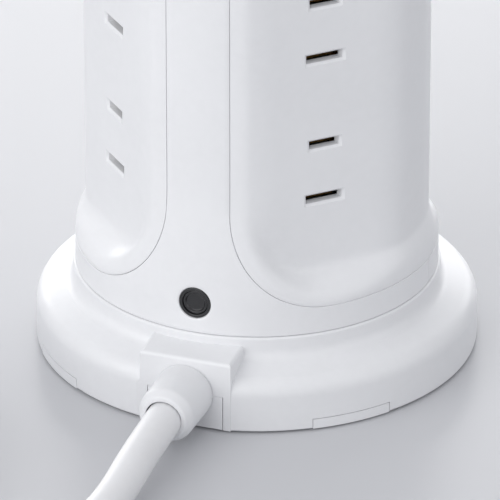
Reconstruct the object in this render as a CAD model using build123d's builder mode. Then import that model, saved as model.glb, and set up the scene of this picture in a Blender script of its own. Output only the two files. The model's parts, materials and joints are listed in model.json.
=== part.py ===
"""Tower power strip: a round base, a four-faced outlet column, a top switch and a coiled mains cord.

Frame: +Z up, origin at the centre of the underside. The four outlet faces look along -Y, +X, +Y
and -X. The cord outlet and the reset button are on the diagonal between the -Y and -X faces, which
is called the front here. All lengths are in millimetres.
"""

import os
from math import cos, pi, radians, sin, sqrt, tan

from build123d import *

os.makedirs("parts", exist_ok=True)

# ---- driving dimensions ----
GAP = 0.25  # seam between neighbouring shells

BASE_R = 48.1
BASE_WALL = 2.4
BASE_BOTTOM = 0.5  # the feet lift the base rim off the table
BASE_SHOULDER_Z = 11.3  # where the outer wall would meet the sloping top
BASE_RIM_R = 40.0  # upright rim that the column stands on
BASE_RIM_FOOT_Z = 14.2
BASE_TOP_Z = 18.7
DECK_BOTTOM_Z = 16.3
DECK_HOLE_R = 29.0

PLATE_BOTTOM_Z = 0.9
PLATE_TOP_Z = 2.9
TAB_WIDTH = 18.0
TAB_TOP_Z = 2.7
FOOT_R = 6.0

SKIRT_R = 39.5
SKIRT_TOP_Z = 24.6  # lower edge of the outlet covers
COLUMN_R = 37.4
COLUMN_TOP_Z = 150.0
FLARE_BOTTOM_Z = 24.0
FLARE_TOP_Z = 52.0
FACE_D = 33.6  # from the axis to an outlet face
FACE_FOOT_Z = 30.9
FACE_TOP_Z = 142.6
FACE_HALF_WIDTH = 17.0
FACE_CORNER_R = 15.0
LEDGE_SLOPE = 33.5  # degrees, from a face's foot out to the skirt
SHOULDER_R = 10.4  # rounded shoulder below the corner between two faces of one cover
SHELL_WALL = 2.3

SPINE_HALF_WIDTH = 7.2
SEAM_ACROSS = 26.9  # centre of the seam's quarter turn
SEAM_UP = 46.6
FLANGE_HALF_WIDTH = 9.6  # spine's flange behind the covers

OUTLET_Z = (53.85, 86.65, 119.45)  # centre of each outlet
BLADE_PITCH = 12.7
LONG_SLOT = 9.6
SHORT_SLOT = 8.1
SLOT_MOUTH = 2.9
SLOT_BEVEL = 0.5
CARRIER_SCREW_Z = (37.5, 70.25, 103.05, 135.5)

CARRIER_D = 17.0  # from the axis to a contact carrier
CARRIER_TOP = 19.8
CARRIER_HALF_WIDTH = 16.0
BUS_OFFSET = 9.5
BUS_WIDTH = 4.0
SHEET_THICK = 0.6
CLIP_END = 30.0
CLIP_WIDTH = 7.0
BLADE_ROOM = 1.3

BUTTON_Z = 25.6
BUTTON_HOLE_R = 3.6
BUTTON_R = 2.75

CAP_R = 38.2
CAP_BOTTOM_Z = 150.2
CAP_TOP_Z = 170.0
ROCKER_TILT = 8.0  # degrees, rest position of the top switch
ROCKER_AXIS_Z = 167.0

OUTLET_SHIFT = 0.6  # the cord outlet sits slightly to one side of the button
BLOCK_HALF_WIDTH = 10.3
BLOCK_FACE = sqrt(BASE_R**2 - BLOCK_HALF_WIDTH**2)
BLOCK_TOP_Z = 16.9
BLOCK_BACK = 38.3
BLOCK_ROUND = 0.8
CORD_Z = 8.4
CORD_R = 4.0
COLLAR_R = 6.35
COLLAR_NECK_R = 5.3
COLLAR_FLANGE_R = 6.2
COLLAR_END = 60.4
COLLAR_SLEEVE = 58.4
COLLAR_LIP_R = 5.1
CLAMP_OUT = 34.2
CLAMP_ACROSS = 9.5

# Routes outside the coil, as distance out along the front diagonal, across and up.
CORD_ROUTE = [
    (29, 0, 8.4),
    (66, 0, 8.4),
    (98, 0.6, 4.2),
    (115.5, -6.2, 4.2),
    (131, -19.5, 4.2),
    (142.5, -38.5, 4.2),
    (149, -61, 4.4),
    (149.2, -82, 4.8),
]
TAIL_ROUTE = [(97.2, -134.9, 12.8), (86, -136.2, 12.4), (77, -138.7, 10.6), (68.5, -140.2, 9.5)]
COIL_CENTRE = (97.2, -83.6)
COIL_OUTER_R = 55.6
COIL_INNER_R = 26.8
COIL_HEIGHT = 17.0
WIRE_R = 1.4
NEUTRAL_LINK_Z = 43.0
LIVE_LINK_Z = 130.2

# ---- planes and places ----
FACES = {"front_right": 0, "back_right": 90, "back_left": 180, "front_left": 270}
SPINE_SIDE = {"front_right": -1, "back_right": 1, "back_left": -1, "front_left": 1}
FRONT = Plane(origin=(0, 0, 0), x_dir=(1, -1, 0), z_dir=(-1, -1, 0))
SIDE = Plane(origin=(0, 0, 0), x_dir=(-1, -1, 0), z_dir=(-1, 1, 0))
SHIFT = OUTLET_SHIFT / sqrt(2)
CORD_FRONT = Plane(origin=(SHIFT, -SHIFT, 0), x_dir=(1, -1, 0), z_dir=(-1, -1, 0))
CORD_SIDE = Plane(origin=(SHIFT, -SHIFT, 0), x_dir=(-1, -1, 0), z_dir=(-1, 1, 0))


def face_plane(turn):
    """The plane through the axis that looks the way the face at this turn looks."""
    a = radians(turn)
    return Plane(origin=(0, 0, 0), x_dir=(cos(a), sin(a), 0), z_dir=(sin(a), -cos(a), 0))


def on_ring(radius, turn):
    """A point at this radius, turned this many degrees from the front diagonal."""
    a = radians(225 + turn)
    return (radius * cos(a), radius * sin(a))


def from_front(out, across, up):
    """Model position of a point given from the cord outlet's plane."""
    side = across + OUTLET_SHIFT
    return ((side - out) / sqrt(2), (-side - out) / sqrt(2), up)


def finish(builder, name):
    """Label a finished piece and write it."""
    builder.part.label = name
    export_step(builder.part, f"parts/{name}.step")


def bend_radii(points):
    """The largest arc that fits at each corner of a route."""
    spots = [Vector(*p) for p in points]
    runs = [b - a for a, b in zip(spots, spots[1:])]
    radii = []
    for run, following in zip(runs, runs[1:]):
        half_turn = radians(run.get_angle(following)) / 2
        radii.append(0.45 * min(run.length, following.length) / tan(half_turn))
    return radii


def screws(positions, head_z, head_r, head_height, shank_r, tip_z):
    """Upright screws with their heads at the bottom."""
    with BuildPart() as group:
        with BuildSketch(Plane.XY.offset(head_z)):
            with Locations(*positions):
                Circle(head_r)
                RegularPolygon(head_r * 0.45, 6, mode=Mode.SUBTRACT)
        extrude(amount=head_height * 0.6)
        with BuildSketch(Plane.XY.offset(head_z + head_height * 0.6)):
            with Locations(*positions):
                Circle(head_r)
        extrude(amount=head_height * 0.4)
        with BuildSketch(Plane.XY.offset(head_z + head_height)):
            with Locations(*positions):
                Circle(shank_r)
        extrude(amount=tip_z - head_z - head_height)
        chamfer(group.faces().sort_by(Axis.Z)[-len(positions):].edges(), length=shank_r * 0.4)
    return group


# ---- base ----
PLATE_SCREWS = [on_ring(38.5, turn) for turn in (60, 120, 240, 300)]
COLUMN_SCREWS = [on_ring(33.0, turn) for turn in (40, 140, 220, 320)]
CLAMP_SCREWS = [from_front(CLAMP_OUT, side * CLAMP_ACROSS, 0)[:2] for side in (-1, 1)]
FOOT_SPOTS = [on_ring(34.0, turn) for turn in (45, 135, 225, 315)]


def tab_sketch(width, inner_r, outer_r):
    """Plan of the four snap tabs around the base's rim, one below each face."""
    with BuildSketch() as plan:
        Circle(outer_r)
        with BuildSketch(mode=Mode.INTERSECT):
            Rectangle(width, 3 * outer_r)
            Rectangle(3 * outer_r, width)
        Circle(inner_r, mode=Mode.SUBTRACT)
    return plan.sketch


with BuildPart() as cord_block:
    with BuildSketch(CORD_SIDE):
        with BuildLine():
            Polyline(
                (BLOCK_BACK, BASE_BOTTOM),
                (BLOCK_FACE, BASE_BOTTOM),
                (BLOCK_FACE, BLOCK_TOP_Z - 0.6),
                (BLOCK_BACK, BLOCK_TOP_Z),
                close=True,
            )
        make_face()
    extrude(amount=BLOCK_HALF_WIDTH, both=True)
    outward_faces = cord_block.faces().sort_by(Axis((0, 0, 0), (-1, -1, 0)))
    fillet(cord_block.faces().sort_by(Axis.Z)[-1].edges() - outward_faces[0].edges(), radius=BLOCK_ROUND)

with BuildPart() as base_shell:
    wall_in = BASE_R - BASE_WALL
    with BuildSketch(Plane.XZ):
        with BuildLine():
            FilletPolyline(
                (BASE_R, BASE_BOTTOM),
                (BASE_R, BASE_SHOULDER_Z),
                (BASE_RIM_R, BASE_RIM_FOOT_Z),
                (BASE_RIM_R, BASE_TOP_Z),
                (DECK_HOLE_R, BASE_TOP_Z),
                (DECK_HOLE_R, DECK_BOTTOM_Z),
                (BASE_RIM_R - BASE_WALL, DECK_BOTTOM_Z),
                (BASE_RIM_R - BASE_WALL, BASE_RIM_FOOT_Z - 1.6),
                (wall_in, BASE_SHOULDER_Z - 1.5),
                (wall_in, BASE_BOTTOM),
                radius=[0.4, 4.0, 2.6, 0.5, 0.2, 0.2, 0.5, 0.8, 1.5, 0.2],
                close=True,
            )
        make_face()
    revolve(axis=Axis.Z)
    # the wall is cut flat where the block for the cord goes through it
    with BuildSketch(CORD_FRONT.offset(BLOCK_FACE)):
        with Locations((0, 8)):
            Rectangle(2 * BLOCK_HALF_WIDTH + 2, 20)
    extrude(amount=4, mode=Mode.SUBTRACT)
    add(cord_block.part)
    # room behind the block's face
    with BuildSketch(CORD_FRONT.offset(33)):
        with Locations((0, 6.2)):
            RectangleRounded(16, 17.2, 1)
    extrude(amount=BLOCK_FACE - BASE_WALL - 33, mode=Mode.SUBTRACT)
    # slot for the bottom plate's upstand and round hole for the collar
    with BuildSketch(CORD_FRONT.offset(43)):
        with Locations((0, CORD_Z / 2 - 1)):
            Rectangle(17.2, CORD_Z + 2)
        with Locations((0, CORD_Z)):
            Circle(COLLAR_NECK_R + 0.05)
    extrude(amount=6, mode=Mode.SUBTRACT)
    # notches for the bottom plate's tabs
    add(tab_sketch(TAB_WIDTH + 0.3, BASE_R - 4, BASE_R + 1))
    extrude(amount=TAB_TOP_Z + 0.15, mode=Mode.SUBTRACT)
    # seat for the bottom plate
    with BuildSketch():
        Circle(wall_in)
    extrude(amount=PLATE_TOP_Z + 0.05, mode=Mode.SUBTRACT)
    # posts for the plate's screws, posts for the cord clamp
    with BuildSketch(Plane.XY.offset(PLATE_TOP_Z + 0.05)):
        with Locations(*PLATE_SCREWS):
            Circle(3.4)
    extrude(amount=13.2 - PLATE_TOP_Z)
    with BuildSketch(Plane.XY.offset(7.0)):
        with Locations(*CLAMP_SCREWS):
            Circle(3.0)
    extrude(amount=DECK_BOTTOM_Z - 6.9)
    with BuildSketch():
        with Locations(*PLATE_SCREWS, *CLAMP_SCREWS):
            Circle(1.15)
    extrude(amount=12.2, mode=Mode.SUBTRACT)
    # holes for the column's screws
    with BuildSketch(Plane.XY.offset(DECK_BOTTOM_Z - 1)):
        with Locations(*COLUMN_SCREWS):
            Circle(1.6)
    extrude(amount=5, mode=Mode.SUBTRACT)
finish(base_shell, "base_shell")

with BuildPart() as bottom_plate:
    with BuildSketch(Plane.XY.offset(PLATE_BOTTOM_Z)):
        Circle(BASE_R - BASE_WALL - 0.25)
    extrude(amount=PLATE_TOP_Z - PLATE_BOTTOM_Z)
    with Locations((0, 0, BASE_BOTTOM)):
        add(tab_sketch(TAB_WIDTH, BASE_R - 5, BASE_R))
    extrude(amount=TAB_TOP_Z - BASE_BOTTOM)
    # upstand that closes the cord's slot and carries the lower half of the collar
    with BuildSketch(CORD_FRONT.offset(BLOCK_FACE - BASE_WALL)):
        with Locations((0, (CORD_Z + BASE_BOTTOM) / 2)):
            Rectangle(16.9, CORD_Z - BASE_BOTTOM - 0.1)
        with Locations((0, CORD_Z)):
            Circle(COLLAR_NECK_R + 0.05, mode=Mode.SUBTRACT)
    extrude(amount=BASE_WALL)
    with BuildSketch(CORD_FRONT.offset(BLOCK_FACE - BASE_WALL)):
        with Locations((0, CORD_Z)):
            Circle(COLLAR_FLANGE_R + 0.1)
    extrude(amount=-3.4, mode=Mode.SUBTRACT)
    # screw holes with counterbores, and seats for the feet
    with BuildSketch():
        with Locations(*PLATE_SCREWS):
            Circle(1.6)
    extrude(amount=6, mode=Mode.SUBTRACT)
    with BuildSketch():
        with Locations(*PLATE_SCREWS):
            Circle(2.9)
    extrude(amount=PLATE_BOTTOM_Z + 1.1, mode=Mode.SUBTRACT)
    with BuildSketch():
        with Locations(*FOOT_SPOTS):
            Circle(FOOT_R + 0.15)
    extrude(amount=PLATE_BOTTOM_Z + 0.8, mode=Mode.SUBTRACT)
finish(bottom_plate, "bottom_plate")

with BuildPart() as rubber_feet:
    with BuildSketch():
        with Locations(*FOOT_SPOTS):
            Circle(FOOT_R)
    extrude(amount=PLATE_BOTTOM_Z + 0.8)
    fillet(rubber_feet.faces().sort_by(Axis.Z)[: len(FOOT_SPOTS)].edges(), radius=0.5)
finish(rubber_feet, "rubber_feet")

base_screws = screws(PLATE_SCREWS, 1.0, 2.7, 1.0, 1.15, 11.5)
finish(base_screws, "base_screws")
column_screws = screws(COLUMN_SCREWS, DECK_BOTTOM_Z - 2.0, 2.8, 2.0, 1.3, 24.2)
finish(column_screws, "column_screws")

# ---- cord entry ----
with BuildPart() as cord_collar:
    flange_out = BLOCK_FACE - BASE_WALL
    with BuildSketch(CORD_SIDE):
        with BuildLine():
            FilletPolyline(
                (flange_out - 3.2, CORD_Z + CORD_R + 0.06),
                (flange_out - 3.2, CORD_Z + COLLAR_FLANGE_R),
                (flange_out - 0.1, CORD_Z + COLLAR_FLANGE_R),
                (flange_out - 0.1, CORD_Z + COLLAR_NECK_R),
                (BLOCK_FACE + 0.1, CORD_Z + COLLAR_NECK_R),
                (BLOCK_FACE + 0.1, CORD_Z + COLLAR_R),
                (COLLAR_SLEEVE, CORD_Z + COLLAR_R - 0.15),
                (COLLAR_END, CORD_Z + COLLAR_LIP_R),
                (COLLAR_END, CORD_Z + CORD_R + 0.06),
                radius=[0.2, 0.4, 0.1, 0.1, 0.1, 0.2, 2.0, 0.6, 0.15],
                close=True,
            )
        make_face()
    revolve(axis=Axis((SHIFT, -SHIFT, CORD_Z), (-1, -1, 0)))
finish(cord_collar, "cord_collar")

with BuildPart() as cord_clamp:
    with BuildSketch(CORD_FRONT.offset(CLAMP_OUT - 3.5)):
        with Locations((0, 5.0)):
            RectangleRounded(2 * CLAMP_ACROSS + 7, 3.4, 0.5)
        with Locations((0, CORD_Z)):
            Circle(CORD_R + 0.05, mode=Mode.SUBTRACT)
    extrude(amount=7)
    with BuildSketch():
        with Locations(*CLAMP_SCREWS):
            Circle(1.3)
    extrude(amount=9, mode=Mode.SUBTRACT)
    with BuildSketch():
        with Locations(*CLAMP_SCREWS):
            Circle(2.4)
    extrude(amount=5.0, mode=Mode.SUBTRACT)
finish(cord_clamp, "cord_clamp")
clamp_screws = screws(CLAMP_SCREWS, 3.5, 2.2, 1.4, 1.15, 11.8)
finish(clamp_screws, "clamp_screws")


# ---- column ----
def face_pocket(depth, half_width, foot_z, top_z, corner_r, spine_side):
    """Everything in front of one outlet face, its outline growing outwards.

    The outline turns up beside the spine. Away from the spine it runs on past the corner, where
    the neighbouring face's outline takes over.
    """
    with BuildPart() as pocket:
        with BuildSketch(Plane(origin=(0, -depth, 0), x_dir=(1, 0, 0), z_dir=(0, -1, 0))):
            with BuildLine():
                FilletPolyline(
                    (spine_side * half_width, foot_z),
                    (spine_side * half_width, top_z),
                    (-spine_side * 30, top_z),
                    (-spine_side * 30, foot_z),
                    radius=[corner_r, corner_r, 1.0, 1.0],
                    close=True,
                )
            make_face()
        extrude(amount=9, taper=-LEDGE_SLOPE)
    return pocket.part


def flared_body(skirt_r, column_r, bottom_z, top_z):
    """The column's round envelope with its flare down to the skirt."""
    middle = ((skirt_r + column_r) / 2, (FLARE_BOTTOM_Z + FLARE_TOP_Z) / 2)
    with BuildPart() as body:
        with BuildSketch(Plane.XZ):
            with BuildLine():
                Line((0, bottom_z), (skirt_r, bottom_z))
                Line((skirt_r, bottom_z), (skirt_r, FLARE_BOTTOM_Z))
                lower = TangentArc((skirt_r, FLARE_BOTTOM_Z), middle, tangent=(0, 1))
                TangentArc(middle, (column_r, FLARE_TOP_Z), tangent=lower % 1)
                Line((column_r, FLARE_TOP_Z), (column_r, top_z))
                Line((column_r, top_z), (0, top_z))
                Line((0, top_z), (0, bottom_z))
            make_face()
        revolve(axis=Axis.Z)
    return body.part


with BuildPart() as shoulder_cutter:
    arc_centre_r = SKIRT_R - SHOULDER_R
    arc_start_z = 25.6
    arc_top_z = arc_start_z + sqrt(SHOULDER_R**2 - (COLUMN_R - arc_centre_r) ** 2)
    with BuildSketch(Plane.XZ):
        with BuildLine():
            TangentArc((SKIRT_R, arc_start_z), (COLUMN_R, arc_top_z), tangent=(0, 1))
            Polyline(
                (COLUMN_R, arc_top_z),
                (COLUMN_R, 100),
                (SKIRT_R + 5, 100),
                (SKIRT_R + 5, arc_start_z),
                (SKIRT_R, arc_start_z),
            )
        make_face()
    revolve(axis=Axis.Z, revolution_arc=90)

with BuildPart() as column_outside:
    add(flared_body(SKIRT_R, COLUMN_R, BASE_TOP_Z + 0.1, COLUMN_TOP_Z))
    for face, turn in FACES.items():
        pocket = face_pocket(
            FACE_D, FACE_HALF_WIDTH, FACE_FOOT_Z, FACE_TOP_Z, FACE_CORNER_R, SPINE_SIDE[face]
        )
        add(pocket.rotate(Axis.Z, turn), mode=Mode.SUBTRACT)
    for turn in (-90, 90):
        add(shoulder_cutter.part.rotate(Axis.Z, turn), mode=Mode.SUBTRACT)

with BuildPart() as column_cavity:
    inner_r = COLUMN_R - SHELL_WALL
    with BuildSketch(Plane.XZ):
        with BuildLine():
            Polyline(
                (0, BASE_TOP_Z - 1),
                (SKIRT_R - SHELL_WALL, BASE_TOP_Z - 1),
                (SKIRT_R - SHELL_WALL, SKIRT_TOP_Z + 0.8),
                (inner_r, SKIRT_TOP_Z + 4.9),
                (inner_r, COLUMN_TOP_Z + 1),
                (0, COLUMN_TOP_Z + 1),
                close=True,
            )
        make_face()
    revolve(axis=Axis.Z)
    inner_face_d = FACE_D - SHELL_WALL
    for face, turn in FACES.items():
        pocket = face_pocket(inner_face_d, 30, FACE_FOOT_Z - 2, FACE_TOP_Z + 2, 1.0, SPINE_SIDE[face])
        add(pocket.rotate(Axis.Z, turn), mode=Mode.SUBTRACT)


def spine_region(margin, start):
    """The part of the column that belongs to the front spine and its half of the skirt."""
    across = SEAM_ACROSS - SPINE_HALF_WIDTH - margin
    drop = SEAM_UP - SKIRT_TOP_Z - margin
    with BuildPart() as region:
        with BuildSketch(FRONT.offset(start)):
            with BuildLine():
                Polyline(
                    (SPINE_HALF_WIDTH + margin, SEAM_UP),
                    (SPINE_HALF_WIDTH + margin, COLUMN_TOP_Z + 5),
                    (0, COLUMN_TOP_Z + 5),
                    (0, BASE_TOP_Z - 2),
                    (60, BASE_TOP_Z - 2),
                    (60, SKIRT_TOP_Z + margin),
                    (SEAM_ACROSS, SKIRT_TOP_Z + margin),
                )
                EllipticalCenterArc((SEAM_ACROSS, SEAM_UP), across, drop, start_angle=180, arc_size=90)
            make_face()
            mirror(about=Plane.YZ)
        extrude(amount=60)
    return region.part


def screw_posts(spots, radius, bottom_z, top_z, hole_r):
    """Hollow upright posts."""
    with BuildPart() as posts:
        with BuildSketch(Plane.XY.offset(bottom_z)):
            with Locations(*spots):
                Circle(radius)
                Circle(hole_r, mode=Mode.SUBTRACT)
        extrude(amount=top_z - bottom_z)
    return posts.part


with BuildPart() as skirt_lip:  # stands behind the lower edge of the covers
    skirt_in = SKIRT_R - SHELL_WALL
    with BuildSketch(Plane.XY.offset(BASE_TOP_Z + 0.1)):
        Circle(skirt_in + 0.1)
        Circle(skirt_in - 2.2, mode=Mode.SUBTRACT)
    extrude(amount=SKIRT_TOP_Z - BASE_TOP_Z - 0.4)
    with BuildSketch(Plane.XY.offset(SKIRT_TOP_Z - 0.4)):
        Circle(skirt_in - 0.6)
        Circle(skirt_in - 2.2, mode=Mode.SUBTRACT)
    extrude(amount=0.8)
    with BuildSketch(FRONT.offset(GAP / 2)):
        with Locations((0, 20)):
            Rectangle(90, 40)
    extrude(amount=60, mode=Mode.INTERSECT)


def spine_extras():
    """Inner flange, skirt lip and cap lug of a spine."""
    inner_r = COLUMN_R - SHELL_WALL
    with BuildPart() as extras:
        # flange behind the edges of the covers, on a narrow web
        with BuildSketch(Plane.XY.offset(SEAM_UP + 1)):
            Circle(inner_r - 0.25)
            Circle(inner_r - 2.2, mode=Mode.SUBTRACT)
        extrude(amount=142.5 - SEAM_UP - 1)
        with BuildSketch(FRONT):
            with Locations((0, 90)):
                Rectangle(2 * FLANGE_HALF_WIDTH, 200)
        extrude(amount=60, mode=Mode.INTERSECT)
        with BuildSketch(FRONT.offset(33.5)):
            with Locations((0, (SEAM_UP + 1 + 142.5) / 2)):
                Rectangle(2 * SPINE_HALF_WIDTH - 2, 142.5 - SEAM_UP - 1)
        extrude(amount=1.8)
        add(skirt_lip.part)
        # lug for the cap's screw
        with BuildSketch(FRONT.offset(26)):
            with Locations((0, 144.75)):
                Rectangle(10, 3.5)
        extrude(amount=inner_r + 0.2 - 26)
    return extras.part


column_wall = column_outside.part - column_cavity.part
front_region = spine_region(-GAP / 2, GAP / 2)
front_cut = spine_region(GAP / 2, 0)

with BuildPart() as rear_spine:
    add(column_wall)
    add(front_region, mode=Mode.INTERSECT)
    add(spine_extras())
    lower_posts = [on_ring(33.0, turn) for turn in (-40, 40)]
    add(screw_posts(lower_posts, 3.2, BASE_TOP_Z + 0.1, SKIRT_TOP_Z + 0.4, 0.95))
    with BuildSketch(Plane.XY.offset(BASE_TOP_Z - 1)):
        with Locations(*lower_posts):
            Circle(1.3)
    extrude(amount=SKIRT_TOP_Z - BASE_TOP_Z + 0.7, mode=Mode.SUBTRACT)
    with BuildSketch(Plane.XY.offset(140)):
        with Locations(on_ring(29.5, 0)):
            Circle(1.5)
    extrude(amount=9, mode=Mode.SUBTRACT)

with BuildPart() as front_spine:
    add(rear_spine.part)
    # cradle for the breaker and the hole for its button
    with BuildSketch(FRONT.offset(30)):
        with Locations((12.9, 21.7), (-12.9, 21.7)):
            Rectangle(1.2, 5.4)
    extrude(amount=5.4)
    with BuildSketch(FRONT.offset(30)):
        with Locations((0, BUTTON_Z)):
            Circle(BUTTON_HOLE_R)
    extrude(amount=12, mode=Mode.SUBTRACT)
finish(front_spine, "front_spine")

with BuildPart() as covers:
    add(column_wall)
    add(front_cut, mode=Mode.SUBTRACT)
    add(front_cut.rotate(Axis.Z, 180), mode=Mode.SUBTRACT)

rear_spine.part = rear_spine.part.rotate(Axis.Z, 180)
finish(rear_spine, "rear_spine")


def slots():
    """Centre height and length of every blade slot on a face."""
    places = []
    for middle in OUTLET_Z:
        places.append((middle - BLADE_PITCH / 2, LONG_SLOT))
        places.append((middle + BLADE_PITCH / 2, SHORT_SLOT))
    return places


def outlet_cover(side, turns):
    """One wrap-round cover with the slots and carrier posts of its two faces."""
    with BuildPart() as cover:
        add(covers.part.solids().sort_by(Axis((0, 0, 0), (side, -side, 0)))[-1])
        for turn in turns:
            outlook = face_plane(turn)
            with BuildSketch(outlook.offset(CARRIER_TOP + 0.1)):
                with Locations(*[(0, z) for z in CARRIER_SCREW_Z]):
                    Circle(2.8)
            extrude(amount=FACE_D - SHELL_WALL - CARRIER_TOP + 0.1)
            with BuildSketch(outlook.offset(CARRIER_TOP - 1)):
                with Locations(*[(0, z) for z in CARRIER_SCREW_Z]):
                    Circle(0.95)
            extrude(amount=10, mode=Mode.SUBTRACT)
            with BuildSketch(outlook.offset(FACE_D - 4)):
                for height, length in slots():
                    with Locations((0, height)):
                        Rectangle(length - 2 * SLOT_BEVEL, SLOT_MOUTH - 2 * SLOT_BEVEL)
            extrude(amount=5, mode=Mode.SUBTRACT)
            outward = outlook.z_dir
            mouths = cover.edges().filter_by(
                lambda e: abs(e.center().dot(outward) - FACE_D) < 0.01
                and 1.5 < e.length < LONG_SLOT
                and abs(e.center().dot(outlook.x_dir)) < 5
            )
            chamfer(mouths, length=SLOT_BEVEL)
    return cover


right_cover = outlet_cover(1, (0, 90))
finish(right_cover, "right_cover")
left_cover = outlet_cover(-1, (180, 270))
finish(left_cover, "left_cover")


# ---- contacts ----
BUS_D = CARRIER_TOP + 0.05


def contact_carrier(outlook):
    """Moulded plate that holds one face's contacts."""
    with BuildPart() as carrier:
        with BuildSketch(outlook.offset(CARRIER_D)):
            with Locations((0, 87)):
                RectangleRounded(2 * CARRIER_HALF_WIDTH, 106, 1.5)
        extrude(amount=CARRIER_TOP - CARRIER_D)
        with BuildSketch(outlook.offset(CARRIER_TOP)):
            with Locations((BUS_OFFSET + 3.1, 87), (-BUS_OFFSET - 3.1, 87)):
                Rectangle(1.2, 100)
        extrude(amount=1.6)
        # gaps in the rails for the two link wires
        with BuildSketch(outlook.offset(CARRIER_TOP)):
            with Locations((0, NEUTRAL_LINK_Z), (0, LIVE_LINK_Z)):
                Rectangle(2 * CARRIER_HALF_WIDTH, 2 * WIRE_R + 0.6)
        extrude(amount=3, mode=Mode.SUBTRACT)
        with BuildSketch(outlook.offset(CARRIER_D - 1)):
            with Locations(*[(0, z) for z in CARRIER_SCREW_Z]):
                Circle(1.35)
        extrude(amount=6, mode=Mode.SUBTRACT)
    return carrier


def bus_bar(outlook, side, slot_shift, low, high):
    """Brass strip with one sprung clip behind each slot of its polarity."""
    with BuildPart() as bar:
        with BuildSketch(outlook.offset(BUS_D)):
            with Locations((side * BUS_OFFSET, (low + high) / 2)):
                Rectangle(BUS_WIDTH, high - low)
            for middle in OUTLET_Z:
                with Locations((side * BUS_OFFSET / 2, middle + slot_shift)):
                    Rectangle(BUS_OFFSET + CLIP_WIDTH / 2, 4)
        extrude(amount=SHEET_THICK)
        leaf = (BLADE_ROOM + SHEET_THICK) / 2
        with BuildSketch(outlook.offset(BUS_D)):
            for middle in OUTLET_Z:
                with Locations((0, middle + slot_shift + leaf), (0, middle + slot_shift - leaf)):
                    Rectangle(CLIP_WIDTH, SHEET_THICK)
        extrude(amount=CLIP_END - BUS_D)
    return bar


for face, turn in FACES.items():
    outlook = face_plane(turn)
    finish(contact_carrier(outlook), f"contact_carrier_{face}")
    finish(bus_bar(outlook, 1, -BLADE_PITCH / 2, 40.0, 117.0), f"neutral_bus_{face}")
    finish(bus_bar(outlook, -1, BLADE_PITCH / 2, 56.0, 132.5), f"live_bus_{face}")

with BuildPart() as carrier_screws:
    for turn in FACES.values():
        outlook = face_plane(turn)
        spots = [(0, z) for z in CARRIER_SCREW_Z]
        with BuildSketch(outlook.offset(CARRIER_D - 1.6)):
            with Locations(*spots):
                Circle(2.2)
        extrude(amount=1.6)
        with BuildSketch(outlook.offset(CARRIER_D)):
            with Locations(*spots):
                Circle(0.95)
        extrude(amount=10)
finish(carrier_screws, "carrier_screws")


def wire(points, radius=WIRE_R):
    """A round wire along straight runs joined by tangent arcs."""
    with BuildPart() as tube:
        with BuildLine() as path:
            FilletPolyline(*points, radius=[min(r, 60) for r in bend_radii(points)])
        with BuildSketch(Plane(origin=path.line @ 0, z_dir=path.line % 0)):
            Circle(radius)
        sweep()
    return tube


def link_loop(height):
    """A square loop of wire around the four carriers."""
    half = BUS_D + SHEET_THICK + WIRE_R - 0.1
    with BuildPart() as loop:
        with BuildLine() as path:
            with BuildLine(Plane.XY.offset(height)):
                FilletPolyline(
                    (half, -half), (half, half), (-half, half), (-half, -half), radius=4, close=True
                )
        with BuildSketch(Plane(origin=path.line @ 0, z_dir=path.line % 0)):
            Circle(WIRE_R)
        sweep()
    return loop


finish(link_loop(NEUTRAL_LINK_Z), "neutral_link")
finish(link_loop(LIVE_LINK_Z), "live_link")

# ---- overload breaker and its reset button ----
with BuildPart() as breaker_body:
    with BuildSketch(FRONT.offset(12)):
        with Locations((0, 26.2)):
            RectangleRounded(24, 12.6, 1)
    extrude(amount=20)
finish(breaker_body, "breaker_body")

with BuildPart() as breaker_bushing:
    with BuildSketch(SIDE):
        with BuildLine():
            FilletPolyline(
                (32.05, BUTTON_Z + BUTTON_R + 0.08),
                (39.2, BUTTON_Z + BUTTON_R + 0.08),
                (39.2, BUTTON_Z + BUTTON_HOLE_R - 0.08),
                (32.05, BUTTON_Z + BUTTON_HOLE_R - 0.08),
                radius=[0.05, 0.15, 0.2, 0.05],
                close=True,
            )
        make_face()
    revolve(axis=Axis((0, 0, BUTTON_Z), (-1, -1, 0)))
finish(breaker_bushing, "breaker_bushing")

with BuildPart() as reset_button:
    with BuildSketch(SIDE):
        with BuildLine():
            FilletPolyline(
                (32.4, BUTTON_Z),
                (32.4, BUTTON_Z + BUTTON_R),
                (38.9, BUTTON_Z + BUTTON_R),
                (38.9, BUTTON_Z + BUTTON_R - 0.5),
                (38.5, BUTTON_Z + BUTTON_R - 0.8),
                (38.5, BUTTON_Z),
                radius=[0.2, 0.15, 0.12, 0.2],
            )
            Line((38.5, BUTTON_Z), (32.4, BUTTON_Z))
        make_face()
    revolve(axis=Axis((0, 0, BUTTON_Z), (-1, -1, 0)))
finish(reset_button, "reset_button")

with BuildPart() as breaker_terminals:
    with BuildSketch(FRONT.offset(5)):
        with Locations((6, 26), (-6, 26)):
            Rectangle(0.8, 6.3)
    extrude(amount=6.95)
finish(breaker_terminals, "breaker_terminals")

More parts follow.
